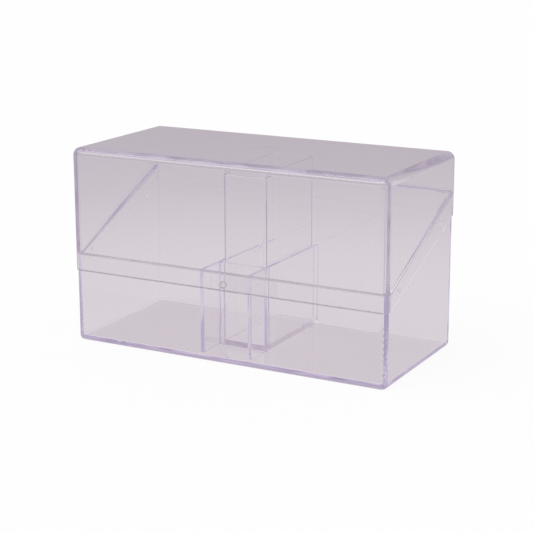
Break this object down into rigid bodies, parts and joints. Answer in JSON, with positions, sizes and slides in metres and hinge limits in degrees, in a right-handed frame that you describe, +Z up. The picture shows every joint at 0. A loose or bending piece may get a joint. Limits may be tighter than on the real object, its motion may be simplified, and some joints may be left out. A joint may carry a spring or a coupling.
{
  "type": "hinged card box with divider and tall inner box",
  "caption": "Clear plastic card box with a hinged lid, raking side walls, an H-shaped divider and a tall open inner box between the card compartments.",
  "frame": {"origin": "middle of the underside of the closed box", "axes": "+X along the box's length, -Y towards the front with the catch, +Z up"},
  "size_m": [0.174, 0.0816, 0.1],
  "materials": {
    "tray_clear": "clear, faint mauve tint",
    "lid_clear": "clear, faint mauve tint",
    "divider_clear": "clear, faint mauve tint",
    "tall_box_clear": "clear, faint mauve tint"
  },
  "bodies": {
    "tray": {"base_tray": "tray_clear"},
    "lid": {"lid": "lid_clear"},
    "divider": {"divider": "divider_clear"},
    "tall_box": {"tall_box": "tall_box_clear"}
  },
  "joints": [
    {"name": "lid_hinge", "type": "hinge", "parent": "tray", "child": "lid", "pos_m": [0, 0.0223, 0.06822], "axis": [-1, 0, 0], "range_deg": [0, 64]},
    {"name": "divider_lift", "type": "slide", "parent": "tray", "child": "divider", "axis": [0, 0, 1], "range_m": [0, 0.05]},
    {"name": "tall_box_lift", "type": "slide", "parent": "tray", "child": "tall_box", "axis": [0, 0, 1], "range_m": [0, 0.008]}
  ]
}
